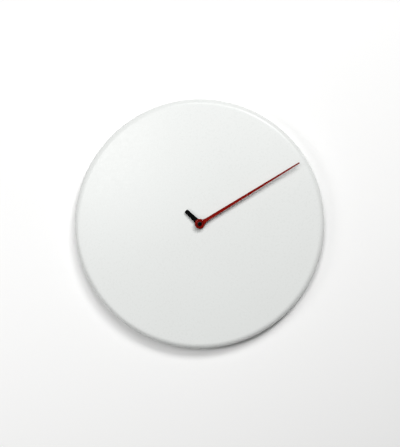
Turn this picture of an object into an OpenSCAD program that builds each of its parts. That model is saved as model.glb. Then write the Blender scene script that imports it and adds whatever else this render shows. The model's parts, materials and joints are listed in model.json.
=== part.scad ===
// Round wall clock: a pressed-steel dial pan and two hands, driven by a quartz
// movement that is clamped behind the dial by its threaded centre bush.
//
// Each sub-part is drawn as seen from the front: x to the right, y up, and z
// from the wall towards the viewer. Zero is where the hands' axis meets the
// wall. stand_up() then turns it upright, with the dial facing -Y.

/* [Dial pan] */
// Outer diameter of the pan
pan_d = 300; // [250:10:340]
// Depth of the pan, from the wall to the front of the dial
pan_depth = 20; // [20:0.5:24]
// Thickness of the pan's sheet steel
sheet_t = 1; // [0.8:0.1:1.2]
// Outer radius of the rounded front edge
edge_r = 7; // [4:0.2:10]
// Width of the return flange that rests on the wall
flange_w = 8; // [6:0.5:14]

/* [Hands] */
// Minute hand, from the axis to its tip
minute_length = 139; // [90:1:145]
// Width of the minute hand where it leaves its hub
minute_root_w = 4.1; // [2.6:0.1:5]
// Width of the minute hand at its tip
minute_tip_w = 1.7; // [1:0.1:2.6]
// Hour hand, from the axis to its tip
hour_length = 23; // [20:1:90]
// Width of the hour hand where it leaves its hub
hour_root_w = 6.6; // [4:0.1:7]
// Width of the hour hand at its tip
hour_tip_w = 4.8; // [2:0.1:5]
// Diameter of the round hub of both hands
hub_d = 12; // [9:0.5:14]
// Diameter of the cap nut on the minute hand
cap_d = 5.5; // [5:0.1:7]
// Minute hand's angle, clockwise from 12 o'clock
minute_angle = 58.5; // [0:0.1:360]
// Hour hand's angle, clockwise from 12 o'clock
hour_angle = 313.3; // [0:0.1:360]

/* [Movement] */
// Width and height of the square movement case
case_w = 56; // [56:0.5:60]
// Depth of the movement case
case_depth = 15; // [15:0.1:15.6]
// Wall thickness of the movement case
case_t = 1; // [0.8:0.1:1.2]
// Radius of the centre bush, over its thread
bush_r = 4; // [4:0.05:4.2]
// Distance from the hands' axis to the keyhole that hangs the clock
hang_height = 52; // [46:1:80]

/* [Battery] */
// Diameter of the AA cell
cell_d = 14; // [13.7:0.1:14.2]
// Length of the AA cell without its terminal
cell_l = 49.2; // [48.6:0.1:49.2]

/* [Gears] */
// Pressure angle of every gear
pressure = 20; // [20:1:22]
// Share of its pitch that each tooth fills
tooth_share = 0.44; // [0.4:0.01:0.46]
// Thickness of each wheel
wheel_t = 0.8; // [0.6:0.05:0.8]

/* [Hidden] */
$fn = 96;
running = 0.05;    // radial clearance of a shaft in its bearing
loose = 0.1;       // radial clearance of the bush in the parts it clamps
pushed = 0.02;     // radial clearance of parts that are pushed together and stay
cut = 1;           // how far a cutting tool runs past a face

// Sandwich behind the dial, from front to back
pan_r = pan_d / 2;
face_back_z = pan_depth - sheet_t;
gasket_t = 0.6;
gasket_r = 9;
bracket_t = 0.8;
bracket_front_z = face_back_z - gasket_t;
case_front_z = bracket_front_z - bracket_t;
case_back_z = case_front_z - case_depth;
cover_t = 1.2;
inside_z = case_back_z + cover_t;         // inner face of the rear cover
front_wall_z = case_front_z - case_t;     // inner face of the case's front wall

// Room inside the case
half_case = case_w / 2;
half_in = half_case - case_t;
bay_h = 14.6;                             // height of the battery bay
bay_top = -half_in + bay_h;
train_bottom = bay_top + case_t;          // the gears' room starts above the bay
case_corner_r = 3;

// Levels of the wheels, counted forward from the rear cover's inner face
seconds_z = inside_z + 1;
seconds_pinion_end = inside_z + 4.95;
inter_pinion_z = inside_z + 0.8;
inter_z = inside_z + 2.6;
rotor_pinion_z = inside_z + 2.4;
magnet_z = inside_z + 4.3;
third_z = inside_z + 4.1;
centre_z = inside_z + 6;
plate_z = inside_z + 7.4;
plate_t = 0.8;
plate_front_z = plate_z + plate_t;
cannon_z = inside_z + 8.4;
motion_z = inside_z + 8.6;
hour_z = inside_z + 10.4;
stator_z = inside_z + 4.9;
stator_t = 0.8;
core_z = stator_z + stator_t;
board_z = inside_z + 5;
board_t = 0.8;

// Tooth counts. The rotor turns 30 times for one turn of the seconds wheel.
rotor_teeth = 10;
inter_teeth = 50;
inter_pinion_teeth = 10;
seconds_teeth = 60;
seconds_pinion_teeth = 8;
third_teeth = 64;
third_pinion_teeth = 8;
centre_teeth = 60;
cannon_teeth = 16;
motion_teeth = 48;
motion_pinion_teeth = 12;
hour_teeth = 48;
setting_teeth = 16;

// Gear modules. Two of them follow from the shared centre distances.
rotor_m = 0.2;
seconds_m = 0.284;
third_m = 0.272;
motion_m = 0.27;
inter_dist = seconds_m * (seconds_teeth + inter_pinion_teeth) / 2;
rotor_dist = rotor_m * (rotor_teeth + inter_teeth) / 2;
third_dist = third_m * (third_teeth + seconds_pinion_teeth) / 2;
motion_dist = motion_m * (motion_teeth + cannon_teeth) / 2;
setting_dist = motion_m * (motion_teeth + setting_teeth) / 2;
centre_m = 2 * third_dist / (centre_teeth + third_pinion_teeth);
hour_m = 2 * motion_dist / (hour_teeth + motion_pinion_teeth);

// Directions from one arbor to the next, and the arbors' places
third_dir = 160;
inter_dir = 20;
rotor_dir = 60;
motion_dir = -25;
setting_dir = 0;
centre_at = [0, 0];
third_at = polar(third_dist, third_dir);
inter_at = polar(inter_dist, inter_dir);
rotor_at = inter_at + polar(rotor_dist, rotor_dir);
motion_at = polar(motion_dist, motion_dir);
setting_at = motion_at + polar(setting_dist, setting_dir);

// Phases that put every pair in mesh at rest
inter_pinion_phase = mesh_phase(0, seconds_teeth, inter_pinion_teeth, inter_dir);
rotor_phase = mesh_phase(0, inter_teeth, rotor_teeth, rotor_dir);
third_phase = mesh_phase(0, seconds_pinion_teeth, third_teeth, third_dir);
centre_phase = mesh_phase(0, third_pinion_teeth, centre_teeth, third_dir + 180);
motion_phase = mesh_phase(0, cannon_teeth, motion_teeth, motion_dir);
setting_phase = mesh_phase(motion_phase, motion_teeth, setting_teeth, setting_dir);
hour_phase = mesh_phase(0, motion_pinion_teeth, hour_teeth, motion_dir + 180);

// Arbors and tubes
arbor_r = 0.4;
rotor_arbor_r = 0.3;
seconds_arbor_r = 0.5;
minute_tube_r = 1.6;
hour_tube_r = 2.5;
motion_post_r = 0.6;
setting_shaft_r = 1.2;
end_play = 0.04;                          // gap between the faces of two turning parts
clutch_r = 3;
spring_t = 0.3;
collar_r = 2.6;
collar_t = 0.66;
pivot_depth = 0.5;                        // how far an arbor reaches into the rear cover
boss_h = 0.5;                             // height of the bearing bosses on the cover
boss_r = 1.3;
knob_r = 5;
knob_t = 1.1;
knob_gap = 0.1;

// Front of the dial
washer_t = 0.4;
washer_r = 5.6;
nut_t = 1.4;
nut_flats = 10;
bush_end_z = pan_depth + 2.2;
thread_pitch = 0.75;
thread_depth = 0.25;
thread_start_z = case_front_z + 0.4;
thread_end_gap = 0.3;
nut_gap = 0.03;
bush_flange_r = 6;
bush_flange_t = 1;
hour_blade_z = pan_depth + 2.7;
hour_blade_t = 0.8;
hour_hub_z = pan_depth + 2.4;
hour_hub_t = 2.2;
minute_blade_z = pan_depth + 6.3;
minute_blade_t = 0.7;
minute_lean = 1;                          // degrees that the blade leans away from the dial
minute_hub_z = pan_depth + 5.5;
minute_hub_t = 1.9;
minute_hub_edge_r = 1.3;
dish_r = [4.2, 4.7];                      // conical dish in the minute hand's hub: floor and mouth
dish_depth = 1.2;
seat_z = minute_hub_z + minute_hub_t - dish_depth;   // the cap nut sits on the dish's floor
cap_h = 2.8;
cap_bore_h = 1.3;
collet_t = 0.6;                           // how far the minute collet reaches behind its hub
collet_wall = 0.6;
hour_flare = [0.3, 4];                    // extra half width at the hub, and its length
minute_flare = [1.1, 6.5];
hour_tip_round = 0.55;                    // corner radius at a tip, as a share of its half width
minute_tip_round = 0.7;
cap_edge_r = 0.7;
hub_edge_r = 0.6;
hub_r = hub_d / 2;
flare_start = 0.8 * hub_r;

// Motor, board and contacts
magnet_r = 2.8;
magnet_h = 2;
rotor_hole_r = 3.5;
stator_ring_r = 5;
stator_x = [1, 23];
stator_leg_w = 4.4;
stator_bar_h = 4;
stator_top = 22.5;
core_h = 4.2;
coil_x = [6.6, 17.4];
coil_y = stator_top - core_h / 2;
coil_z = core_z + stator_t / 2;
coil_r = 3.5;
bobbin_flange_t = 0.8;
bobbin_wall_t = 0.6;
screw_r = 0.8;
screw_head_r = 1.6;
screw_head_t = 0.6;
board_x = [-22, -3];
board_y = [13.4, 25.2];
contact_t = 0.4;
strip_w = 3;
strip_z = inside_z + 3.4;
cell_y = bay_top - bay_h / 2;
cell_z = front_wall_z - 0.3 - cell_d / 2;
cell_x = -24.4;                           // the cell's flat negative end
nub_r = 2.6;
nub_h = 1.3;
sleeve_t = 0.15;
post_r = 1.5;
post_x = half_in - 2.6;
post_y = [train_bottom + 2.6, half_in - 2.6];

// Hanger: a strip that climbs clear of the case and steps back to the wall
bracket_w = 24;
bracket_foot_y = half_case + 3;
bracket_low = -15;
keyhole_r = 4;
keyhole_slot_r = 2.1;
keyhole_rise = 7;
bracket_back_z = 0.4;
bracket_top = hang_height + keyhole_rise + 7;
bracket_corner_r = [2.5, 5];              // at the foot and at the top
fold_square = 5;                          // length beside a fold where the strip stays square
gusset_h = 5;
gusset_l = 6;

// ---- Places and gear geometry ----

function polar(r, a) = r * [cos(a), sin(a)];

// Phase of the second gear of a pair, so that a tooth of one faces a gap of the other
function mesh_phase(phase_a, teeth_a, teeth_b, direction) =
    direction + 180 - 360 / teeth_b * (0.5 - (direction - phase_a) * teeth_a / 360);

// Addendum and dedendum in modules. A wheel's tips stop short of the flanks
// that its pinion would have to be undercut for.
function addendum(teeth, mate) =
    let (base = teeth / 2 * cos(pressure), reach = (teeth + mate) / 2 * sin(pressure))
    min(1, norm([base, reach]) - teeth / 2);
function dedendum(teeth, mate) = addendum(mate, teeth) + 0.25;

function involute(a) = tan(a) * 180 / PI - a;
function half_tooth(r, teeth, m) =
    let (base = teeth * m / 2 * cos(pressure))
    tooth_share * 180 / teeth + involute(pressure)
        - (r > base ? involute(acos(base / r)) : 0);

// Radii of the corners of one flank, from root to tip
function flank_radii(teeth, m, mate) =
    let (pitch_r = teeth * m / 2,
         base = pitch_r * cos(pressure),
         root = pitch_r - dedendum(teeth, mate) * m,
         tip = pitch_r + addendum(teeth, mate) * m,
         start = max(root, base))
    concat(root < base ? [root, base] : [root], [(start + tip) / 2, tip]);

function gear_outline(teeth, m, mate) =
    let (radii = flank_radii(teeth, m, mate), last = len(radii) - 1)
    [for (k = [0:teeth - 1], side = [-1, 1], i = [0:last])
        let (r = radii[side < 0 ? i : last - i])
        polar(r, 360 * k / teeth + side * half_tooth(r, teeth, m))];

function tip_r(teeth, m, mate) = m * (teeth / 2 + addendum(teeth, mate));

// ---- Building blocks ----

module stand_up() {
    rotate([90, 0, 0]) children();
}

module disc(r, z, h) {
    translate([0, 0, z]) cylinder(r = r, h = h);
}

module pipe(r_out, r_in, z, h) {
    difference() {
        disc(r_out, z, h);
        disc(r_in, z - cut, h + 2 * cut);
    }
}

// A box between two corners
module block(x, y, z) {
    translate([x[0], y[0], z[0]]) cube([x[1] - x[0], y[1] - y[0], z[1] - z[0]]);
}

module rounded_rect(w, h, r) {
    square([w - 2 * r, h], center = true);
    square([w, h - 2 * r], center = true);
    for (sx = [-1, 1], sy = [-1, 1])
        translate([sx * (w / 2 - r), sy * (h / 2 - r)]) circle(r);
}

module quarter_ring(r, t) {
    intersection() {
        difference() {
            circle(r);
            circle(r - t);
        }
        square(r + cut);
    }
}

module gear(teeth, m, mate, z, h, phase = 0) {
    translate([0, 0, z]) rotate(phase) linear_extrude(h) polygon(gear_outline(teeth, m, mate));
}

// Four round windows that lighten a wheel's web
module web_windows(r, z) {
    for (k = [0:3])
        rotate(45 + 90 * k) translate([0.56 * r, 0, z - cut]) cylinder(r = 0.2 * r, h = wheel_t + 2 * cut);
}

module at(place) {
    translate([place[0], place[1], 0]) children();
}

module at_corner_posts() {
    for (x = [-post_x, post_x], y = post_y) at([x, y]) children();
}

// A disc with its front edge rounded over
module hub_disc(r, z, h, round_r) {
    translate([0, 0, z]) rotate_extrude() {
        square([r, h - round_r]);
        square([r - round_r, h]);
        translate([r - round_r, h - round_r]) circle(round_r);
    }
}

// Half width of a tapered blade at distance s, with a flare where it meets its hub
function blade_half(s, length, root_w, tip_w, flare) =
    let (along = s / length, near = max(0, 1 - (s - flare_start) / flare[1]))
    (root_w + (tip_w - root_w) * along) / 2 + flare[0] * near * near;

// Outline of a blade along +x with a round or blunt tip
module blade(length, root_w, tip_w, flare, tip_round) {
    steps = 8;
    flare_steps = [for (i = [0:steps]) flare_start + flare[1] * i / steps];
    tip_half = tip_w / 2;
    corner = tip_half * tip_round;
    tip_arc = [for (a = [90:-15:0]) [length - corner, tip_half - corner] + polar(corner, a)];
    edge = concat(
        [[0, blade_half(flare_start, length, root_w, tip_w, flare)]],
        [for (s = flare_steps) [s, blade_half(s, length, root_w, tip_w, flare)]],
        tip_arc);
    last = len(edge) - 1;
    polygon(concat(edge, [for (i = [0:last]) [edge[last - i][0], -edge[last - i][1]]]));
}

// ---- Pan, hanger and clamping parts ----

module dial_pan() {
    bend_r = 1.6 * sheet_t;
    color("white") stand_up() rotate_extrude($fn = 360) {
        translate([bush_r + loose, face_back_z]) square([pan_r - edge_r - bush_r - loose, sheet_t]);
        translate([pan_r - edge_r, pan_depth - edge_r]) quarter_ring(edge_r, sheet_t);
        translate([pan_r - sheet_t, bend_r]) square([sheet_t, pan_depth - edge_r - bend_r]);
        translate([pan_r - bend_r, bend_r]) mirror([0, 1]) quarter_ring(bend_r, sheet_t);
        translate([pan_r - flange_w, 0]) square([flange_w - bend_r, sheet_t]);
    }
}

module dial_gasket() {
    color("dimgray") stand_up() pipe(gasket_r, bush_r + loose, bracket_front_z, gasket_t);
}

module hanger_bracket() {
    rise_z = bracket_front_z - bracket_back_z;
    color("silver") stand_up() difference() {
        union() {
            translate([0, (bracket_low + bracket_foot_y) / 2, case_front_z])
                linear_extrude(bracket_t)
                    rounded_rect(bracket_w, bracket_foot_y - bracket_low, bracket_corner_r[0]);
            translate([-bracket_w / 2, bracket_foot_y - bracket_t, bracket_back_z])
                cube([bracket_w, bracket_t, rise_z]);
            block([-bracket_w / 2, bracket_w / 2], [bracket_foot_y - fold_square, bracket_foot_y],
                  [case_front_z, bracket_front_z]);
            translate([0, (bracket_foot_y + bracket_top) / 2, bracket_back_z])
                linear_extrude(bracket_t)
                    rounded_rect(bracket_w, bracket_top - bracket_foot_y, bracket_corner_r[1]);
            block([-bracket_w / 2, bracket_w / 2],
                  [bracket_foot_y - bracket_t, bracket_foot_y + fold_square],
                  [bracket_back_z, bracket_back_z + bracket_t]);
            for (side = [-1, 1]) bracket_gusset(side);
        }
        disc(bush_r + loose, 0, pan_depth);
        at([0, hang_height]) disc(keyhole_r, 0, bracket_back_z + bracket_t + cut);
        at([0, hang_height + keyhole_rise])
            disc(keyhole_slot_r, 0, bracket_back_z + bracket_t + cut);
        block([-keyhole_slot_r, keyhole_slot_r], [hang_height, hang_height + keyhole_rise],
              [0, bracket_back_z + bracket_t + cut]);
    }
}

// Folded side web that stiffens the step of the hanger
module bracket_gusset(side) {
    x = side > 0 ? bracket_w / 2 - bracket_t : -bracket_w / 2;
    translate([x, bracket_foot_y, bracket_back_z]) rotate([90, 0, 90])
        linear_extrude(bracket_t)
            polygon([[-bracket_t, 0], [gusset_l, 0], [gusset_l, bracket_t],
                     [0, gusset_h], [-bracket_t, gusset_h]]);
}

module threaded_bush() {
    turns = floor((bush_end_z - thread_start_z - thread_end_gap) / thread_pitch);
    color("gold") stand_up() difference() {
        union() {
            disc(bush_flange_r, front_wall_z - bush_flange_t, bush_flange_t);
            disc(bush_r - thread_depth, front_wall_z, bush_end_z - front_wall_z);
            disc(bush_r, front_wall_z, case_front_z - front_wall_z);
            for (k = [0:turns - 1])
                disc(bush_r, thread_start_z + k * thread_pitch, thread_pitch / 2);
        }
        disc(hour_tube_r + running, 0, pan_depth * 2);
    }
}

module bush_washer() {
    color("black") stand_up() pipe(washer_r, bush_r + loose, pan_depth, washer_t);
}

module bush_nut() {
    color("black") stand_up() difference() {
        translate([0, 0, pan_depth + washer_t])
            cylinder(r = nut_flats / 2 / cos(30), h = nut_t, $fn = 6);
        disc(bush_r + nut_gap, 0, pan_depth * 2);
    }
}

// ---- Hands ----

module hour_hand() {
    color([0.03, 0.03, 0.03]) stand_up() rotate(90 - hour_angle) difference() {
        union() {
            hub_disc(hub_r, hour_hub_z, hour_hub_t, hub_edge_r);
            translate([0, 0, hour_blade_z]) linear_extrude(hour_blade_t)
                blade(hour_length, hour_root_w, hour_tip_w, hour_flare, hour_tip_round);
        }
        disc(hour_tube_r + collet_wall, 0, pan_depth * 2);
    }
}

// Pressed-in tube that grips the hour wheel
module hour_collet() {
    color("gray") stand_up()
        pipe(hour_tube_r + collet_wall, hour_tube_r, hour_hub_z, hour_hub_t);
}

module minute_hand() {
    color([0.45, 0.05, 0.04]) stand_up() rotate(90 - minute_angle) difference() {
        union() {
            hub_disc(hub_r, minute_hub_z, minute_hub_t, minute_hub_edge_r);
            translate([0, 0, minute_blade_z]) rotate([0, -minute_lean, 0]) linear_extrude(minute_blade_t)
                blade(minute_length, minute_root_w, minute_tip_w, minute_flare, minute_tip_round);
        }
        translate([0, 0, seat_z]) cylinder(r1 = dish_r[0], r2 = dish_r[1], h = dish_depth);
        disc(dish_r[1], seat_z + dish_depth, cut);
        disc(minute_tube_r + collet_wall, 0, pan_depth * 2);
    }
}

module minute_collet() {
    color("gray") stand_up()
        pipe(minute_tube_r + collet_wall, minute_tube_r, minute_hub_z - collet_t,
             minute_hub_t - dish_depth + collet_t);
}

module cap_nut() {
    color("black") stand_up() difference() {
        hub_disc(cap_d / 2, seat_z, cap_h, cap_edge_r);
        disc(minute_tube_r, seat_z - cut, cap_bore_h + cut);
    }
}

// ---- Hand-setting side, in front of the middle plate ----

module hour_wheel() {
    color("ivory") stand_up() difference() {
        union() {
            gear(hour_teeth, hour_m, motion_pinion_teeth, hour_z, wheel_t, hour_phase);
            disc(hour_tube_r + 0.9, hour_z, wheel_t + 0.4);
            disc(hour_tube_r, hour_z, hour_hub_z + hour_hub_t - hour_z);
        }
        disc(minute_tube_r + running, 0, pan_depth * 2);
        web_windows(tip_r(hour_teeth, hour_m, motion_pinion_teeth), hour_z);
    }
}

module minute_arbor() {
    back_z = centre_z - 0.9;
    color("tan") stand_up() difference() {
        union() {
            disc(minute_tube_r, back_z, seat_z + cap_bore_h - 0.2 - back_z);
            gear(cannon_teeth, motion_m, motion_teeth, cannon_z, 1.4);
        }
        disc(seconds_arbor_r + running, 0, pan_depth * 2);
    }
}

// Slips on the minute arbor when the hands are set
module centre_gear() {
    color("ivory") stand_up() difference() {
        gear(centre_teeth, centre_m, third_pinion_teeth, centre_z, wheel_t, centre_phase);
        disc(minute_tube_r + running, centre_z - cut, wheel_t + 2 * cut);
        web_windows(tip_r(centre_teeth, centre_m, third_pinion_teeth), centre_z);
    }
}

module clutch_spring() {
    spring_z = centre_z + wheel_t + end_play;
    color("gold") stand_up() difference() {
        disc(clutch_r, spring_z, spring_t);
        disc(minute_tube_r, 0, pan_depth);
        for (k = [0:2])
            rotate(120 * k) block([2.2, 2.6], [-1.1, 1.1], [spring_z - cut, spring_z + cut]);
    }
}

module clutch_collar() {
    color("tan") stand_up() pipe(collar_r, minute_tube_r, centre_z - end_play - collar_t, collar_t);
}

module motion_wheel() {
    pinion_h = hour_z + wheel_t + 0.3 - motion_z;
    color("white") stand_up() at(motion_at) difference() {
        union() {
            gear(motion_teeth, motion_m, cannon_teeth, motion_z, wheel_t, motion_phase);
            gear(motion_pinion_teeth, hour_m, hour_teeth, motion_z, pinion_h);
        }
        disc(motion_post_r + running, 0, pan_depth);
        web_windows(tip_r(motion_teeth, motion_m, cannon_teeth), motion_z);
    }
}

module motion_post() {
    color("silver") stand_up() at(motion_at)
        disc(motion_post_r, plate_z, front_wall_z - 0.4 - plate_z);
}

module setting_knob() {
    grip_cuts = 24;
    knob_z = case_back_z - knob_gap - knob_t;
    color("gainsboro") stand_up() at(setting_at) difference() {
        disc(knob_r, knob_z, knob_t);
        disc(setting_shaft_r, knob_z + 0.4, knob_t);
        for (k = [0:grip_cuts - 1])
            rotate(360 * k / grip_cuts) translate([knob_r + 0.15, 0, knob_z - cut])
                cylinder(r = 0.4, h = knob_t + 2 * cut);
        for (k = [0:2])
            rotate(120 * k) block([2, 4], [-0.3, 0.3], [knob_z - cut, knob_z + 0.3]);
    }
}

module setting_shaft() {
    knob_z = case_back_z - knob_gap - knob_t;
    color("white") stand_up() at(setting_at) {
        disc(setting_shaft_r, knob_z + 0.4, cannon_z + 1.2 - knob_z - 0.4);
        gear(setting_teeth, motion_m, motion_teeth, cannon_z, 1.2, setting_phase);
    }
}

// ---- Going train, between the rear cover and the middle plate ----

module seconds_wheel() {
    color("ivory") stand_up() difference() {
        union() {
            gear(seconds_teeth, seconds_m, inter_pinion_teeth, seconds_z, wheel_t);
            gear(seconds_pinion_teeth, third_m, third_teeth, seconds_z, seconds_pinion_end - seconds_z);
        }
        disc(seconds_arbor_r, 0, pan_depth);
        web_windows(tip_r(seconds_teeth, seconds_m, inter_pinion_teeth), seconds_z);
    }
}

module seconds_arbor() {
    color("silver") stand_up()
        disc(seconds_arbor_r, inside_z - pivot_depth, seat_z + 0.9 - inside_z + pivot_depth);
}

module third_wheel() {
    color("ivory") stand_up() at(third_at) difference() {
        union() {
            gear(third_teeth, third_m, seconds_pinion_teeth, third_z, wheel_t - 0.1, third_phase);
            gear(third_pinion_teeth, centre_m, centre_teeth, third_z, plate_z - 0.2 - third_z);
        }
        disc(arbor_r, 0, pan_depth);
        web_windows(tip_r(third_teeth, third_m, seconds_pinion_teeth), third_z);
    }
}

module plate_to_cover_arbor(r) {
    disc(r, inside_z - pivot_depth, plate_front_z - inside_z + pivot_depth);
}

module third_arbor() {
    color("silver") stand_up() at(third_at) plate_to_cover_arbor(arbor_r);
}

module intermediate_wheel() {
    color("white") stand_up() at(inter_at) difference() {
        union() {
            gear(inter_teeth, rotor_m, rotor_teeth, inter_z, wheel_t - 0.1);
            gear(inter_pinion_teeth, seconds_m, seconds_teeth, inter_pinion_z,
                 inter_z + wheel_t - 0.1 - inter_pinion_z, inter_pinion_phase);
        }
        disc(arbor_r, 0, pan_depth);
    }
}

module intermediate_arbor() {
    color("silver") stand_up() at(inter_at) plate_to_cover_arbor(arbor_r);
}

module rotor_pinion() {
    color("white") stand_up() at(rotor_at) {
        plate_to_cover_arbor(rotor_arbor_r);
        gear(rotor_teeth, rotor_m, inter_teeth, rotor_pinion_z, magnet_z - rotor_pinion_z, rotor_phase);
    }
}

module rotor_magnet() {
    color("dimgray") stand_up() at(rotor_at) pipe(magnet_r, rotor_arbor_r, magnet_z, magnet_h);
}

// ---- Motor ----

module motor_screw_places() {
    for (x = [stator_x[0] + stator_leg_w / 2, stator_x[1] - stator_leg_w / 2]) at([x, coil_y]) children();
}

module stator_plate() {
    bar_y = [rotor_at[1] - stator_bar_h / 2, rotor_at[1] + stator_bar_h / 2];
    z = [stator_z, stator_z + stator_t];
    color("slategray") stand_up() difference() {
        union() {
            block(stator_x, bar_y, z);
            block([stator_x[0], stator_x[0] + stator_leg_w], [bar_y[0], stator_top], z);
            block([stator_x[1] - stator_leg_w, stator_x[1]], [bar_y[0], stator_top], z);
            at(rotor_at) disc(stator_ring_r, z[0], stator_t);
        }
        at(rotor_at) disc(rotor_hole_r, 0, pan_depth);
        at(rotor_at) for (a = [90, 270]) rotate(a) translate([stator_ring_r, 0, 0]) disc(0.9, 0, pan_depth);
        motor_screw_places() disc(screw_r, 0, pan_depth);
    }
}

module coil_core() {
    color("slategray") stand_up() difference() {
        block(stator_x, [stator_top - core_h, stator_top], [core_z, core_z + stator_t]);
        motor_screw_places() disc(screw_r, 0, pan_depth);
    }
}

module along_coil(x) {
    translate([x, coil_y, coil_z]) rotate([90, 0, 90]) children();
}

module coil_bobbin() {
    length = coil_x[1] - coil_x[0];
    wall = 2 * bobbin_wall_t;
    color("darkgreen") stand_up() difference() {
        union() {
            along_coil(coil_x[0]) linear_extrude(length)
                square([core_h + wall, stator_t + wall], center = true);
            for (x = [coil_x[0], coil_x[1] - bobbin_flange_t])
                along_coil(x) cylinder(r = coil_r + 0.4, h = bobbin_flange_t);
        }
        along_coil(coil_x[0] - cut) linear_extrude(length + 2 * cut)
            square([core_h, stator_t], center = true);
    }
}

module coil_winding() {
    length = coil_x[1] - coil_x[0] - 2 * bobbin_flange_t;
    wall = 2 * bobbin_wall_t;
    color([0.72, 0.35, 0.15]) stand_up() along_coil(coil_x[0] + bobbin_flange_t) difference() {
        cylinder(r = coil_r, h = length);
        translate([0, 0, -cut]) linear_extrude(length + 2 * cut)
            square([core_h + wall, stator_t + wall], center = true);
    }
}

// Two screws through the stator and the core into the middle plate's pillars
module motor_screws() {
    color("silver") stand_up() motor_screw_places() difference() {
        union() {
            disc(screw_head_r, stator_z - screw_head_t, screw_head_t);
            disc(screw_r, stator_z, plate_z - stator_z);
        }
        for (a = [0, 90])
            rotate(a) block([-1, 1], [-0.2, 0.2], [stator_z - screw_head_t - cut, stator_z - 0.3]);
    }
}

// ---- Board and contacts ----

module circuit_board() {
    color("darkgreen") stand_up() difference() {
        block(board_x, board_y, [board_z, board_z + board_t]);
        at([board_x[0] + 2, board_y[0] + 2]) disc(0.8, 0, pan_depth);
        at([board_x[1] - 2, board_y[0] + 2]) disc(0.8, 0, pan_depth);
    }
}

module chip() {
    dome_r = 4.5;
    dome_h = 1.3;
    color("black") stand_up() translate([board_x[1] - 6, (board_y[0] + board_y[1]) / 2 + 1, board_z])
        intersection() {
            translate([0, 0, dome_r - dome_h]) sphere(dome_r);
            translate([0, 0, -dome_h]) cylinder(r = dome_r, h = dome_h);
        }
}

module crystal_can() {
    color("silver") stand_up()
        translate([board_x[0] + 3.5, board_y[1] - 3, board_z - 1.05]) rotate([0, 90, 0])
            cylinder(r = 1.05, h = 6.2);
}

// A dished plate at the cell's cap, and a strip along the case walls to the board
module contact_positive() {
    x0 = half_in - 0.3 - contact_t;
    x = [x0, x0 + contact_t];
    z = [strip_z, strip_z + strip_w];
    top_y = half_in - 0.3;
    tab_x = board_x[1] - 3;
    color("silver") stand_up() {
        block(x, [cell_y - 5, cell_y + 5], [cell_z - 5, cell_z + 5]);
        block(x, [cell_y, top_y], z);
        block([tab_x, x[1]], [top_y - contact_t, top_y], z);
        block([tab_x, tab_x + 2], [board_y[1] - 1, top_y], [board_z - contact_t, board_z]);
    }
}

module contact_negative() {
    x0 = -half_in + 0.2;
    x = [x0, x0 + contact_t];
    z = [strip_z, strip_z + strip_w];
    y_end = board_y[0] + 5;
    color("silver") stand_up() {
        block(x, [cell_y - 5, cell_y + 5], [cell_z - 5, cell_z + 5]);
        block(x, [cell_y, y_end], z);
        block([x[0], board_x[0] + 1], [y_end - 2, y_end], [board_z - contact_t, board_z]);
    }
}

// Conical wire spring that presses on the cell's flat end
module contact_spring() {
    wire_r = 0.35;
    turns = 2;
    steps = 24;
    sides = 8;
    base_r = 4.2;
    end_r = 2.4;
    x0 = -half_in + 0.2 + contact_t + wire_r;
    reach = cell_x - 0.12 - wire_r - x0;
    n = turns * steps;
    points = [for (i = [0:n], k = [0:sides - 1])
        let (u = i / n, a = 360 * turns * u, b = 360 * k / sides,
             r = base_r + (end_r - base_r) * u + wire_r * cos(b))
        [x0 + reach * u + wire_r * sin(b), r * cos(a), r * sin(a)]];
    sides_faces = [for (i = [0:n - 1], k = [0:sides - 1])
        let (next = (k + 1) % sides)
        [i * sides + k, i * sides + next, (i + 1) * sides + next, (i + 1) * sides + k]];
    ends = [[for (k = [sides - 1:-1:0]) k], [for (k = [0:sides - 1]) n * sides + k]];
    color("silver") stand_up() translate([0, cell_y, cell_z])
        polyhedron(points, concat(sides_faces, ends));
}

// ---- Battery ----

module lying_cell(x) {
    translate([x, cell_y, cell_z]) rotate([0, 90, 0]) children();
}

module battery_cell() {
    color("silver") stand_up() {
        lying_cell(cell_x) cylinder(r = cell_d / 2 - sleeve_t, h = cell_l);
        lying_cell(cell_x + cell_l) hub_disc(nub_r, 0, nub_h, 0.4);
    }
}

module battery_sleeve() {
    lip = 0.3;
    color("steelblue") stand_up() lying_cell(cell_x + lip) difference() {
        cylinder(r = cell_d / 2, h = cell_l - 2 * lip);
        translate([0, 0, -cut]) cylinder(r = cell_d / 2 - sleeve_t, h = cell_l + cut);
    }
}

// ---- Movement case ----

module movement_case() {
    y_mid = (train_bottom + half_in) / 2;
    inner_z = [case_back_z - cut, front_wall_z];
    color([0.12, 0.12, 0.13]) stand_up() difference() {
        union() {
            difference() {
                translate([0, 0, case_back_z]) linear_extrude(case_depth)
                    rounded_rect(case_w, case_w, case_corner_r);
                block([-half_in, half_in], [train_bottom, half_in], inner_z);
                block([-half_in, half_in], [-half_in, bay_top], inner_z);
            }
            at_corner_posts() disc(post_r, plate_front_z, front_wall_z - plate_front_z + 0.2);
        }
        // seat of the rear cover
        translate([0, y_mid, case_back_z - cut]) linear_extrude(cover_t + cut)
            rounded_rect(case_w - 1.2, half_in - train_bottom + 0.8, 2);
        disc(bush_r + pushed, 0, pan_depth);
        // notches that let the contact strips pass from the bay
        for (side = [-1, 1])
            block([side * half_in - 1.1, side * half_in + 1.1] - side * [1.1, 1.1],
                  [bay_top - cut, train_bottom + cut], [strip_z - 0.4, strip_z + strip_w + 0.4]);
        // finger notch for lifting the cell out
        translate([0, -half_case, case_back_z]) rotate([90, 0, 0])
            cylinder(r = 7, h = 3 * case_t, center = true);
        clip_places() translate([0, 0, inside_z + 2.2]) cube([4.4, 3, 1.4], center = true);
    }
}

// The cover's clips: one in each side wall and two in the top wall
module clip_places() {
    for (side = [-1, 1]) {
        translate([side * half_in, 8, 0]) rotate(-90 * side) children();
        translate([side * 18, half_in, 0]) children();
    }
}

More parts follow.
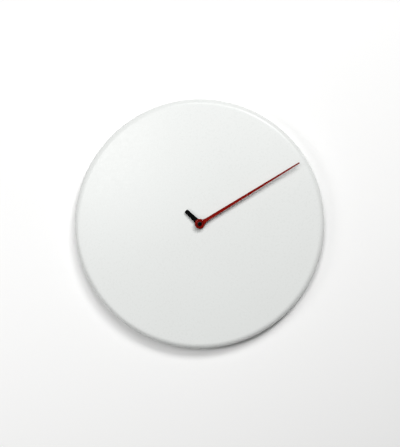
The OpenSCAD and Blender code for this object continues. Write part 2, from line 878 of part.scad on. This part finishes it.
module cover_clip() {
    block([-2, 2], [-1.1, -0.15], [inside_z - 0.2, inside_z + 3]);
    block([-2, 2], [-0.6, 0.5], [inside_z + 1.6, inside_z + 2.6]);
}

module rear_cover() {
    seat_w = case_w - 1.4;
    seat_h = half_in - train_bottom + 0.6;
    y_mid = (train_bottom + half_in) / 2;
    color([0.16, 0.16, 0.17]) stand_up() difference() {
        union() {
            translate([0, y_mid, case_back_z]) linear_extrude(cover_t) rounded_rect(seat_w, seat_h, 1.9);
            for (place = [centre_at, third_at, inter_at, rotor_at])
                at(place) disc(boss_r, inside_z, boss_h);
            at_corner_posts() disc(post_r, inside_z, plate_z - inside_z);
            clip_places() cover_clip();
        }
        bearing(centre_at, seconds_arbor_r);
        bearing(third_at, arbor_r);
        bearing(inter_at, arbor_r);
        bearing(rotor_at, rotor_arbor_r);
        at(setting_at) disc(setting_shaft_r + running, 0, pan_depth);
        // ring groove round the knob
        at(setting_at) pipe(knob_r + 1.4, knob_r + 0.8, case_back_z - cut, cut + 0.3);
    }
}

// A blind bearing hole in the rear cover
module bearing(place, r) {
    at(place) disc(r + running, inside_z - pivot_depth - 0.1, boss_h + pivot_depth + 1);
}

module middle_plate() {
    gap = 0.3;
    color("khaki") stand_up() difference() {
        union() {
            block([-half_in + gap, half_in - gap], [train_bottom + gap, half_in - gap],
                  [plate_z, plate_front_z]);
            motor_screw_places() disc(2, core_z + stator_t, plate_z - core_z - stator_t);
            for (x = [board_x[0] + 2, board_x[1] - 2])
                at([x, board_y[0] + 2]) board_peg();
        }
        block([coil_x[0] - 0.6, coil_x[1] + 0.6], [coil_y - coil_r - 1, coil_y + coil_r + 1],
              [plate_z - cut, plate_front_z + cut]);
        disc(minute_tube_r + running, 0, pan_depth);
        at(third_at) disc(arbor_r + running, 0, pan_depth);
        at(inter_at) disc(arbor_r + running, 0, pan_depth);
        at(rotor_at) disc(rotor_arbor_r + running, 0, pan_depth);
        at(motion_at) disc(motion_post_r, 0, pan_depth);
        at(setting_at) disc(setting_shaft_r + running, 0, pan_depth);
        motor_screw_places() disc(screw_r, 0, plate_z);
    }
}

// A peg that locates the circuit board, with a shoulder in front of it
module board_peg() {
    disc(1.4, board_z + board_t, plate_z - board_z - board_t);
    disc(0.75, board_z - 0.4, board_t + 0.5);
}

dial_pan();
dial_gasket();
hanger_bracket();
movement_case();
rear_cover();
middle_plate();
threaded_bush();
bush_washer();
bush_nut();
hour_hand();
hour_collet();
minute_hand();
minute_collet();
cap_nut();
hour_wheel();
minute_arbor();
centre_gear();
clutch_spring();
clutch_collar();
motion_wheel();
motion_post();
setting_knob();
setting_shaft();
seconds_wheel();
seconds_arbor();
third_wheel();
third_arbor();
intermediate_wheel();
intermediate_arbor();
rotor_pinion();
rotor_magnet();
stator_plate();
coil_core();
coil_bobbin();
coil_winding();
motor_screws();
circuit_board();
chip();
crystal_can();
contact_positive();
contact_negative();
contact_spring();
battery_cell();
battery_sleeve();
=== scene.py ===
import json
import math

import bmesh
import bpy
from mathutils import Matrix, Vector


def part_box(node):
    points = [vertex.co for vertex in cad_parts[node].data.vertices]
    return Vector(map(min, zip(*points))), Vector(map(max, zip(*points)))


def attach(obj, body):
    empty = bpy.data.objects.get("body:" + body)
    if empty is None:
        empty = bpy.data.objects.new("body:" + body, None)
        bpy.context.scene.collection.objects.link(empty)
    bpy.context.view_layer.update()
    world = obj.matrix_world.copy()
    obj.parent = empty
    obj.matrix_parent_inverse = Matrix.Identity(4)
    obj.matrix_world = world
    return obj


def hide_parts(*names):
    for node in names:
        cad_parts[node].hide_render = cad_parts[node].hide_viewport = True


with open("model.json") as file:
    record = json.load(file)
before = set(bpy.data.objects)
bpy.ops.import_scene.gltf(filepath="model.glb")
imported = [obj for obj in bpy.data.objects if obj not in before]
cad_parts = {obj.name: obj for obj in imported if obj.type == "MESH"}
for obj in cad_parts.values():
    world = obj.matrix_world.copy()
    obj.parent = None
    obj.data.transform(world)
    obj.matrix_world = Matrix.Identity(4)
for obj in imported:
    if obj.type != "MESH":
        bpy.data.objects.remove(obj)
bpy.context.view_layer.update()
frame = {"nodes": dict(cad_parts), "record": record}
nodes = frame["nodes"]
scene = bpy.context.scene
MM = 0.001
MICRON = 0.000001


# ---- Meshes ----

MERGE = 1e-7  # metres, joins the points that meet on an axis


def rounded(corners, guard=0.15):
    """Points of a closed outline, in mm, from (x, y, corner radius, steps). Each arc gets a
    guard point just beyond both ends, so that the flats beside it keep a flat shading. A
    corner with no steps stays sharp."""
    points = []
    for i, (x, y, radius, steps) in enumerate(corners):
        here = Vector((x, y))
        if not steps:
            points.append(here)
            continue
        before = Vector(corners[i - 1][:2]) - here
        after = Vector(corners[(i + 1) % len(corners)][:2]) - here
        u, v = before.normalized(), after.normalized()
        half = math.acos(max(-1.0, min(1.0, u.dot(v)))) / 2
        reach = radius / math.tan(half)
        centre = here + (u + v).normalized() * (radius / math.sin(half))
        start, end = here + u * reach - centre, here + v * reach - centre
        sweep = math.pi - 2 * half
        if start.x * end.y < start.y * end.x:
            sweep = -sweep
        points.append(centre + start + u * guard)
        for k in range(steps + 1):
            a = sweep * k / steps
            points.append(centre + Vector((start.x * math.cos(a) - start.y * math.sin(a),
                                           start.x * math.sin(a) + start.y * math.cos(a))))
        points.append(here + v * (reach + guard))
    return points


def quads(rows, columns, closed=False):
    """Faces of a grid whose rows are rings of points. A closed grid joins its last row to its
    first."""
    faces = []
    for i in range(rows if closed else rows - 1):
        near, far = i * columns, (i + 1) % rows * columns
        for k in range(columns):
            after = (k + 1) % columns
            faces.append((near + k, near + after, far + after, far + k))
    return faces


def new_mesh(name, verts, faces, materials, choose=None):
    """A smooth-shaded piece. choose() gives the material's number for a face's centre."""
    mesh = bpy.data.meshes.new(name)
    mesh.from_pydata([tuple(p) for p in verts], [], faces)
    bm = bmesh.new()
    bm.from_mesh(mesh)
    bmesh.ops.remove_doubles(bm, verts=bm.verts, dist=MERGE)
    bmesh.ops.recalc_face_normals(bm, faces=bm.faces)
    bm.to_mesh(mesh)
    bm.free()
    for m in materials:
        mesh.materials.append(m)
    for polygon in mesh.polygons:
        polygon.use_smooth = True
        if choose:
            polygon.material_index = choose(polygon.center)
    piece = bpy.data.objects.new(name, mesh)
    scene.collection.objects.link(piece)
    return piece


def lathe(name, outline, place, segments, materials, choose=None):
    """Turns a closed outline of (radius, height) points, in mm, round an axis. place() puts
    a (radius, height, angle) point into the frame, in metres."""
    verts = [place(r, h, 2 * math.pi * k / segments) for k in range(segments) for r, h in outline]
    return new_mesh(name, verts, quads(segments, len(outline), closed=True), materials, choose)


def on_hands_axis(r, h, a):
    return Vector((r * math.cos(a), -h, r * math.sin(a))) * MM


# ---- Materials ----


class Finish:
    """A Principled material and short ways to feed it. Positions are the object's own, in metres."""

    def __init__(self, name, colour, roughness, metallic=0.0, **inputs):
        self.material = bpy.data.materials.new(name)
        self.material.use_nodes = True
        self.tree = self.material.node_tree
        self.tree.nodes.clear()
        self.out = self.add("OutputMaterial")
        self.shader = self.add("BsdfPrincipled")
        self.link(self.shader.outputs[0], self.out.inputs["Surface"])
        self.shader.inputs["Base Color"].default_value = (*colour, 1)
        self.shader.inputs["Roughness"].default_value = roughness
        self.shader.inputs["Metallic"].default_value = metallic
        for key, value in inputs.items():
            self.shader.inputs[key.replace("_", " ")].default_value = value
        self.colour_now = None
        self.where = self.add("TexCoord").outputs["Object"]

    def add(self, kind, **settings):
        node = self.tree.nodes.new("ShaderNode" + kind)
        for key, value in settings.items():
            setattr(node, key, value)
        return node

    def link(self, source, target):
        self.tree.links.new(source, target)

    def noise(self, scale, detail=3.0, stretch=(1, 1, 1)):
        """Cloudy values round 0.5, with a scale in clouds per metre."""
        mapping = self.add("Mapping")
        mapping.inputs["Scale"].default_value = stretch
        self.link(self.where, mapping.inputs["Vector"])
        noise = self.add("TexNoise")
        noise.inputs["Scale"].default_value = scale
        noise.inputs["Detail"].default_value = detail
        self.link(mapping.outputs[0], noise.inputs["Vector"])
        return noise.outputs["Fac"]

    def cells(self, scale):
        cells = self.add("TexVoronoi")
        cells.inputs["Scale"].default_value = scale
        self.link(self.where, cells.inputs["Vector"])
        return cells.outputs["Distance"]

    def maths(self, operation, a, b=0.0):
        node = self.add("Math", operation=operation)
        for socket, value in zip(node.inputs, (a, b)):
            if isinstance(value, (int, float)):
                socket.default_value = value
            else:
                self.link(value, socket)
        return node.outputs[0]

    def times(self, a, b):
        return self.maths("MULTIPLY", a, b)

    def remap(self, value, low, high, to_low=0.0, to_high=1.0):
        node = self.add("MapRange", clamp=True)
        self.link(value, node.inputs["Value"])
        for key, number in (("From Min", low), ("From Max", high), ("To Min", to_low), ("To Max", to_high)):
            node.inputs[key].default_value = number
        return node.outputs["Result"]

    def patches(self, scale, detail, low, high, share):
        """Patches from 0 to a share, where a noise goes from low to high."""
        return self.remap(self.noise(scale, detail), low, high, 0, share)

    def axis(self, name):
        split = self.add("SeparateXYZ")
        self.link(self.where, split.inputs[0])
        return split.outputs[name]

    def radius(self):
        """Distance from the hands' axis, in metres."""
        x, z = self.axis("X"), self.axis("Z")
        return self.maths("SQRT", self.maths("ADD", self.times(x, x), self.times(z, z)))

    def waves(self, along, pitch):
        """A sine from -1 to 1 along a length in metres, with its pitch in mm."""
        return self.maths("SINE", self.times(along, 2 * math.pi / (pitch * MM)))

    def edges(self, low=0.52, high=0.62):
        """1 along outward edges, 0 on flats."""
        return self.remap(self.add("NewGeometry").outputs["Pointiness"], low, high)

    def tint(self, colour, share):
        """Mixes another colour over what is there by a share from 0 to 1."""
        mix = self.add("Mix", data_type="RGBA")
        factor, under, over = mix.inputs[0], mix.inputs[6], mix.inputs[7]
        if self.colour_now is None:
            under.default_value = self.shader.inputs["Base Color"].default_value
        else:
            self.link(self.colour_now, under)
        over.default_value = (*colour, 1)
        self.link(share, factor)
        self.colour_now = mix.outputs[2]
        self.link(self.colour_now, self.shader.inputs["Base Color"])

    def rough(self, noise, low, high):
        """Roughness from low to high over the range that most of a noise's values lie in."""
        self.link(self.remap(noise, 0.3, 0.7, low, high), self.shader.inputs["Roughness"])

    def bumps(self, *layers):
        """Layers of (height, depth in microns, strength)."""
        normal = None
        for height, depth, strength in layers:
            bump = self.add("Bump")
            bump.inputs["Distance"].default_value = depth * MICRON
            bump.inputs["Strength"].default_value = strength
            self.link(height, bump.inputs["Height"])
            if normal is not None:
                self.link(normal, bump.inputs["Normal"])
            normal = bump.outputs["Normal"]
        self.link(normal, self.shader.inputs["Normal"])


def scaled(colour, factor, lift=0.0):
    return [min(1, c * factor + lift) for c in colour]


def lacquer():
    """Satin white stove enamel: smooth, with the faintest orange peel."""
    f = Finish("lacquer_white", (0.735, 0.751, 0.737), 0.3, Specular_IOR_Level=0.35)
    f.tint((0.71, 0.72, 0.705), f.patches(9, 2, 0.45, 0.7, 0.3))
    f.rough(f.noise(420, 4), 0.25, 0.33)
    f.bumps((f.noise(480, 2), 30, 0.06))
    return f.material


def inside_lacquer():
    """Thin, drier coat on the back of the sheet, with painted shade in patches in the inside corner of the
    rim.
    """
    f = Finish("lacquer_inside", (0.66, 0.67, 0.655), 0.5)
    f.tint((0.58, 0.58, 0.56), f.patches(22, 5, 0.5, 0.75, 0.5))
    # painted shade: darker patches towards the inside corner of the rim, where shade falls
    corner = f.remap(f.radius(), 0.136, 0.148)
    f.tint((0.42, 0.41, 0.38), f.times(corner, f.patches(160, 6, 0.4, 0.75, 0.45)))
    f.rough(f.noise(300, 5), 0.42, 0.68)
    f.bumps((f.noise(700, 4), 60, 0.3))
    return f.material


def paint(name, colour, worn):
    """Gloss paint on a stamped hand, rubbed a little along its edges."""
    f = Finish(name, colour, 0.12, Specular_IOR_Level=0.18)
    f.tint(scaled(colour, 0.75), f.patches(900, 3, 0.4, 0.7, 0.5))
    f.tint(worn, f.times(f.edges(0.56, 0.7), f.patches(700, 5, 0.5, 0.62, 0.3)))
    f.rough(f.noise(1500, 4), 0.1, 0.16)
    f.bumps((f.noise(2600, 3), 8, 0.2))
    return f.material


def moulded(name, colour, rough=(0.45, 0.62), grain=4200, depth=30):
    """Moulded plastic or rubber with spark-eroded grain, its depth in microns. It is paler
    where its edges are rubbed."""
    f = Finish(name, colour, 0.5)
    f.tint(scaled(colour, 1.9, 0.02), f.times(f.edges(), f.patches(350, 5, 0.45, 0.65, 0.6)))
    f.tint(scaled(colour, 1.25, 0.01), f.patches(120, 5, 0.5, 0.75, 0.5))
    f.rough(f.noise(600, 4), *rough)
    f.bumps((f.noise(grain, 2), depth, 0.6))
    return f.material


def metal(name, colour, rough=(0.22, 0.4), brush=(1, 1, 30), scale=300):
    """Rolled or drawn metal, with lines along the way it was worked and dull patches."""
    f = Finish(name, colour, 0.3, 1.0)
    f.tint(scaled(colour, 0.72), f.patches(90, 6, 0.45, 0.8, 0.7))
    f.tint(scaled(colour, 1.2), f.times(f.edges(), 0.5))
    lines = f.noise(scale, 4, brush)
    f.rough(lines, *rough)
    f.bumps((lines, 20, 0.3), (f.noise(2200, 3), 15, 0.2))
    return f.material


def zinc():
    """Bright zinc plate on steel: small crystals, a bluish cast and grey passivation."""
    f = Finish("zinc_steel", (0.62, 0.63, 0.64), 0.35, 1.0)
    crystals = f.cells(420)
    f.tint((0.50, 0.52, 0.55), f.remap(crystals, 0.2, 0.8, 0, 0.5))
    f.tint((0.50, 0.50, 0.49), f.patches(110, 6, 0.5, 0.8, 0.45))
    f.tint((0.75, 0.75, 0.74), f.times(f.edges(), 0.5))
    f.rough(f.noise(240, 4), 0.28, 0.46)
    f.bumps((f.noise(60, 4, (40, 1, 1)), 20, 0.25), (crystals, 10, 0.3))
    return f.material


def turned(name, colour, rough=(0.2, 0.34)):
    """Metal turned on a lathe: rings round the hands' axis, 0.12 mm apart."""
    f = Finish(name, colour, 0.28, 1.0)
    f.tint(scaled(colour, 0.7), f.patches(260, 5, 0.45, 0.8, 0.7))
    rings = f.waves(f.radius(), 0.12)
    f.rough(f.noise(700, 4), *rough)
    f.bumps((rings, 6, 0.5))
    return f.material


def winding():
    """Enamelled copper wire wound in close turns along X, 0.12 mm apart, with painted shade in the grooves
    between the turns.
    """
    f = Finish("copper", (0.66, 0.27, 0.12), 0.25, 1.0, Coat_Weight=0.4, Coat_Roughness=0.12)
    turns = f.waves(f.axis("X"), 0.12)
    # painted shade: darker in the grooves between the turns
    f.tint((0.42, 0.14, 0.06), f.remap(turns, -1, -0.2, 0.8, 0))
    f.tint((0.50, 0.20, 0.09), f.patches(260, 5, 0.45, 0.75, 0.6))
    f.rough(f.noise(500, 3), 0.2, 0.32)
    f.bumps((turns, 40, 0.7))
    return f.material


def board():
    """Solder resist over tracks 1.6 mm apart, with a 0.4 mm weave of glass cloth just showing."""
    f = Finish("board_green", (0.02, 0.13, 0.06), 0.3)
    tracks = f.waves(f.axis("Z"), 1.6)
    f.tint((0.05, 0.24, 0.10), f.remap(tracks, 0.35, 0.45))
    f.tint((0.03, 0.17, 0.08), f.patches(300, 5, 0.45, 0.7, 0.5))
    weave = f.times(f.waves(f.axis("X"), 0.4), f.waves(f.axis("Z"), 0.4))
    f.rough(f.noise(700, 4), 0.24, 0.4)
    f.bumps((tracks, 30, 0.4), (weave, 10, 0.3))
    return f.material


def sleeve(start, length):
    """Shrink sleeve of the cell: two plain colours and a thin pale line between them."""
    line, end, fade = 0.684, 0.700, 0.001  # as shares of the length
    f = Finish("cell_sleeve", (0.045, 0.10, 0.17), 0.2, Coat_Weight=0.5, Coat_Roughness=0.08)
    along = f.maths("DIVIDE", f.maths("SUBTRACT", f.axis("X"), start), length)
    f.tint((0.42, 0.44, 0.46), f.remap(along, end, end + fade))
    f.tint((0.72, 0.73, 0.72), f.times(f.remap(along, line, line + fade), f.remap(along, end + fade, end)))
    f.tint((0.16, 0.20, 0.25), f.patches(420, 6, 0.58, 0.72, 0.35))
    f.rough(f.noise(300, 4), 0.16, 0.28)
    f.bumps((f.noise(260, 3, (0.2, 1, 1)), 50, 0.25), (f.noise(1800, 2), 10, 0.2))
    return f.material


cell_low, cell_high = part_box("battery_cell")
FINISHES = {
    "lacquer_white": lacquer(),
    "rubber_black": moulded("rubber_black", (0.03, 0.03, 0.03), (0.7, 0.9), 1500, 80),
    "zinc_steel": zinc(),
    "abs_black": moulded("abs_black", (0.022, 0.022, 0.024)),
    "abs_grey": moulded("abs_grey", (0.5, 0.5, 0.48)),
    "pom_natural": moulded("pom_natural", (0.8, 0.78, 0.7), (0.28, 0.42), 1200, 10),
    "brass": turned("brass", (0.78, 0.58, 0.28)),
    "black_metal": turned("black_metal", (0.05, 0.05, 0.052), (0.3, 0.45)),
    "paint_black": paint("paint_black", (0.0009, 0.0009, 0.0009), (0.012, 0.012, 0.012)),
    "paint_red": paint("paint_red", (0.20, 0.0045, 0.002), (0.26, 0.02, 0.012)),
    "steel": metal("steel", (0.55, 0.56, 0.57)),
    "magnet": moulded("magnet", (0.07, 0.07, 0.075), (0.35, 0.5)),
    "bobbin_green": moulded("bobbin_green", (0.05, 0.18, 0.08)),
    "copper": winding(),
    "board_green": board(),
    "epoxy_black": moulded("epoxy_black", (0.01, 0.01, 0.01), (0.12, 0.22), 400, 30),
    "contact_nickel": metal("contact_nickel", (0.7, 0.69, 0.66), (0.2, 0.36), (1, 30, 1), 80),
    "cell_steel": metal("cell_steel", (0.75, 0.75, 0.74), (0.14, 0.26), (1, 1, 1), 400),
    "cell_sleeve": sleeve(cell_low.x, cell_high.x - cell_low.x),
}

slot_of = {s["node"]: s["material_slot"] for s in frame["record"]["subparts"]}
for name, node in nodes.items():
    finish = FINISHES[slot_of[name]]
    if node.material_slots:
        for s in node.material_slots:
            s.material = finish
    else:
        node.data.materials.append(finish)


# ---- Edges of the CAD nodes ----

EDGE_WIDTHS = {  # mm
    0.15: ["hour_hand", "minute_hand", "cap_nut", "hanger_bracket", "bush_nut"],
    0.25: ["movement_case", "rear_cover", "setting_knob"],
    0.08: ["bush_washer", "contact_positive", "contact_negative", "middle_plate", "circuit_board",
           "coil_bobbin", "stator_plate", "motor_screws", "crystal_can"],
}
WELD = 1e-6  # metres
FLAT_ANGLE = math.radians(1)
SHARP_ANGLE = math.radians(35)


def soften(node, width):
    """Rounds a node's sharp edges by a width in mm, so that they catch the light."""
    weld = node.modifiers.new("weld", "WELD")
    weld.merge_threshold = WELD
    flats = node.modifiers.new("flats", "DECIMATE")
    flats.decimate_type = "DISSOLVE"
    flats.angle_limit = FLAT_ANGLE
    bevel = node.modifiers.new("bevel", "BEVEL")
    bevel.width = width * MM
    bevel.segments = 2
    bevel.limit_method = "ANGLE"
    bevel.angle_limit = SHARP_ANGLE
    normals = node.modifiers.new("normals", "WEIGHTED_NORMAL")
    normals.keep_sharp = False
    for polygon in node.data.polygons:
        polygon.use_smooth = True


for width, names in EDGE_WIDTHS.items():
    for name in names:
        soften(nodes[name], width)


# ---- Dial pan, in mm ----

low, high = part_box("dial_pan")
pan_r = high.x / MM
pan_depth = -low.y / MM
SHEET = 1.0  # thickness
BORE = 4.1
BORE_R = 0.15  # its edges
EDGE_R = 7.0  # front edge, outside
BACK_R = 1.6  # back edge, outside
FLANGE = 8.0  # width of the return flange
FLANGE_CUT_R = 0.2  # its cut edge
FLANGE_BEND_R = 0.6  # where it meets the side, inside
PAN_SEGMENTS = 384
OUTER, INNER = 0, 1  # the pan's two materials


def side_of_sheet(centre):
    """OUTER or INNER, by the half of the sheet that a face's centre lies in."""
    r = math.hypot(centre.x, centre.z) / MM
    h = -centre.y / MM
    past_r, past_h = r - (pan_r - EDGE_R), h - (pan_depth - EDGE_R)
    if past_r > 0 and past_h > 0:
        return INNER if math.hypot(past_r, past_h) < EDGE_R - SHEET / 2 else OUTER
    return INNER if SHEET / 2 < h < pan_depth - SHEET / 2 and r < pan_r - SHEET / 2 else OUTER


pan_outline = rounded([
    (BORE, pan_depth, BORE_R, 3),
    (pan_r, pan_depth, EDGE_R, 32),
    (pan_r, 0, BACK_R, 12),
    (pan_r - FLANGE, 0, FLANGE_CUT_R, 4),
    (pan_r - FLANGE, SHEET, FLANGE_CUT_R, 4),
    (pan_r - SHEET, SHEET, FLANGE_BEND_R, 8),
    (pan_r - SHEET, pan_depth - SHEET, EDGE_R - SHEET, 28),
    (BORE, pan_depth - SHEET, BORE_R, 3),
])
pan = lathe("pan_shell", pan_outline, on_hands_axis, PAN_SEGMENTS,
            [FINISHES["lacquer_white"], inside_lacquer()], side_of_sheet)
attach(pan, "clock_body")
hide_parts("dial_pan")


# ---- Cell, its sleeve and the contact spring, in mm ----

cell_y = (cell_low.y + cell_high.y) / 2
cell_z = (cell_low.z + cell_high.z) / 2
SLEEVE = 0.15  # thickness
LIP = 0.09  # thickness where it is shrunk over the can's ends
BASE_LIP = 0.9  # how far it reaches over them, at the flat end and at the nub's end
NUB_LIP = 1.3
LIP_R = 0.03  # its cut edges
NUB_R = 2.6
NUB_H = 1.3
INSET = 0.1  # from the sleeve's ends to the can's
BASE = 0.15  # height of the flat end's middle, and of the groove round it
GROOVE = 0.45
GROOVE_R = (4.4, 4.7, 5.1, 5.4)
SEAL = 0.4  # depth of the step round the nub
SEAL_R = (3.9, 4.2)
BEND_R = 0.15
BASE_SHOULDER_R = (0.7, 0.8)  # of the can and of its sleeve
NUB_SHOULDER_R = (0.9, 1.0)
CAN_SEGMENTS = 96
SLEEVE_SEGMENTS = 128
cell_length = (cell_high.x - cell_low.x) / MM - NUB_H
can_r = (cell_high.z - cell_low.z) / 2 / MM
sleeve_r = can_r + SLEEVE


def on_cell_axis(r, h, a):
    return Vector((cell_low.x + h * MM, cell_y + r * math.cos(a) * MM, cell_z + r * math.sin(a) * MM))


can_outline = rounded([
    (0, BASE, 0, 0),
    (GROOVE_R[0], BASE, BEND_R, 3),
    (GROOVE_R[1], GROOVE, BEND_R, 3),
    (GROOVE_R[2], GROOVE, BEND_R, 3),
    (GROOVE_R[3], INSET, BEND_R, 3),
    (can_r, INSET, BASE_SHOULDER_R[0], 8),
    (can_r, cell_length - INSET, NUB_SHOULDER_R[0], 8),
    (SEAL_R[1], cell_length - INSET, 0.3, 4),
    (SEAL_R[0], cell_length - SEAL, 0.2, 3),
    (NUB_R, cell_length - SEAL, 0.25, 4),
    (NUB_R, cell_length + NUB_H, 0.45, 6),
    (0, cell_length + NUB_H, 0, 0),
], guard=0.04)
can = lathe("cell_can", can_outline, on_cell_axis, CAN_SEGMENTS, [FINISHES["cell_steel"]])
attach(can, "battery")
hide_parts("battery_cell")

wrap_outline = rounded([
    (sleeve_r - BASE_LIP, 0, LIP_R, 2),
    (sleeve_r, 0, BASE_SHOULDER_R[1], 10),
    (sleeve_r, cell_length, NUB_SHOULDER_R[1], 10),
    (sleeve_r - NUB_LIP, cell_length, LIP_R, 2),
    (sleeve_r - NUB_LIP, cell_length - LIP, LIP_R, 2),
    (can_r, cell_length - LIP, NUB_SHOULDER_R[0], 10),
    (can_r, LIP, BASE_SHOULDER_R[0], 10),
    (sleeve_r - BASE_LIP, LIP, LIP_R, 2),
], guard=0.005)
wrap = lathe("cell_wrap", wrap_outline, on_cell_axis, SLEEVE_SEGMENTS, [FINISHES["cell_sleeve"]])
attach(wrap, "battery")
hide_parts("battery_sleeve")


def spring_wire():
    """Conical spring: a round wire along a helix, with a flat closed turn at both ends."""
    wire_r = 0.35
    base_r, end_r = 4.2, 2.4
    turns, steps, sides = 3.2, 48, 14
    flat = 0.2  # share of the wire that lies flat, at each end
    tip = 0.05  # size of the wire's end caps, as a share of its own
    spring_low, spring_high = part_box("contact_spring")
    start = spring_low.x / MM + wire_r
    reach = spring_high.x / MM - wire_r - start
    count = int(turns * steps)
    verts = []
    for i in range(count + 1):
        u = i / count
        a = 2 * math.pi * turns * u
        along = start + reach * max(0, min(1, (u - flat) / (1 - 2 * flat)))
        size = wire_r * (math.sqrt(max(0.0, 1 - max(0, 1 - min(i, count - i) / 2) ** 2)) or tip)
        for k in range(sides):
            b = 2 * math.pi * k / sides
            r = base_r + (end_r - base_r) * u + size * math.cos(b)
            verts.append(Vector(((along + size * math.sin(b)) * MM,
                                 cell_y + r * math.cos(a) * MM, cell_z + r * math.sin(a) * MM)))
    faces = quads(count + 1, sides)
    faces += [tuple(range(sides)), tuple(range(count * sides, (count + 1) * sides))]
    return new_mesh("spring_wire", verts, faces, [FINISHES["contact_nickel"]])


spring = spring_wire()
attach(spring, "clock_body")
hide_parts("contact_spring")


# ---- Wall, lights and camera ----

WALL_COLOUR = (0.9, 0.9, 0.895)
WALL_UNDER_PAN = 1.4  # mm, how far the wall reaches in under the pan's edge
WALL_BESIDE_PAN = 60  # mm, width of the wall's first ring beyond it
WALL_RADII = (700, 4000)
WALL_SEGMENTS = 192


def wall():
    """A pale wall with a hole hidden behind the pan. The camera sees through it from behind."""
    radii = (pan_r - WALL_UNDER_PAN, pan_r + WALL_BESIDE_PAN, *WALL_RADII)
    angles = [2 * math.pi * k / WALL_SEGMENTS for k in range(WALL_SEGMENTS)]
    verts = [on_hands_axis(r, 0, a) for r in radii for a in angles]
    f = Finish("wall_paint", WALL_COLOUR, 0.85)
    f.rough(f.noise(90, 3), 0.8, 0.95)
    f.bumps((f.noise(260, 4), 300, 0.08))
    clear = f.add("BsdfTransparent")
    mix = f.add("MixShader")
    from_behind = f.add("NewGeometry").outputs["Backfacing"]
    by_camera = f.add("LightPath").outputs["Is Camera Ray"]
    f.link(f.times(from_behind, by_camera), mix.inputs[0])
    f.link(f.shader.outputs[0], mix.inputs[1])
    f.link(clear.outputs[0], mix.inputs[2])
    f.link(mix.outputs[0], f.out.inputs["Surface"])
    piece = new_mesh("wall", verts, quads(len(radii), WALL_SEGMENTS), [f.material])
    if piece.data.polygons[0].normal.y > 0:
        piece.data.flip_normals()
    return piece


wall()


def lamp(name, toward, off_axis, distance, size, power):
    """A round area lamp that faces the middle of the wall. toward is its direction seen from
    the front, anticlockwise from the right, and off_axis its angle from the hands' axis, both
    in degrees. distance and size are in metres, power in watts."""
    a, b = math.radians(toward), math.radians(off_axis)
    way = Vector((math.sin(b) * math.cos(a), -math.cos(b), math.sin(b) * math.sin(a)))
    data = bpy.data.lights.new(name, "AREA")
    data.shape = "DISK"
    data.size = size
    data.energy = power
    ob = bpy.data.objects.new(name, data)
    ob.location = way * distance
    ob.rotation_euler = way.to_track_quat("Z", "Y").to_euler()
    scene.collection.objects.link(ob)


lamp("key", 58, 41, 2.4, 0.7, 25.2)
lamp("top", 90, 35, 1.6, 0.5, 5.6)
lamp("upper", 60, 20, 1.6, 0.4, 4.2)
lamp("front", 140, 14, 1.6, 0.4, 5.0)
lamp("left", 186, 45, 1.0, 0.4, 1.8)
lamp("lower_left", 228, 40, 1.2, 0.5, 1.4)
lamp("behind", 0, 180, 0.9, 0.25, 9)


def room(fill):
    """A world that the camera sees in the wall's colour, and that lights the clock with only
    the strength of fill."""
    world = bpy.data.worlds.new("room")
    world.use_nodes = True
    tree = world.node_tree
    tree.nodes.clear()
    output = tree.nodes.new("ShaderNodeOutputWorld")
    mix = tree.nodes.new("ShaderNodeMixShader")
    seen = tree.nodes.new("ShaderNodeBackground")
    seen.inputs["Color"].default_value = (*WALL_COLOUR, 1)
    around = tree.nodes.new("ShaderNodeBackground")
    around.inputs["Color"].default_value = (1, 1, 1, 1)
    around.inputs["Strength"].default_value = fill
    path = tree.nodes.new("ShaderNodeLightPath")
    tree.links.new(path.outputs["Is Camera Ray"], mix.inputs[0])
    tree.links.new(around.outputs[0], mix.inputs[1])
    tree.links.new(seen.outputs[0], mix.inputs[2])
    tree.links.new(mix.outputs[0], output.inputs["Surface"])
    return world


scene.world = room(fill=0.02)

camera_data = bpy.data.cameras.new("camera")
camera_data.lens = 79.4
camera_data.sensor_width = 36
camera_data.clip_start = 0.05
camera_data.clip_end = 20
camera = bpy.data.objects.new("camera", camera_data)
camera.location = (0.0003, -1.2, 0.0004)  # just beside the hands' axis, as in the photo
camera.rotation_euler = (math.pi / 2, 0, 0)
scene.collection.objects.link(camera)
scene.camera = camera
scene.view_settings.view_transform = "Standard"
scene.view_settings.look = "None"
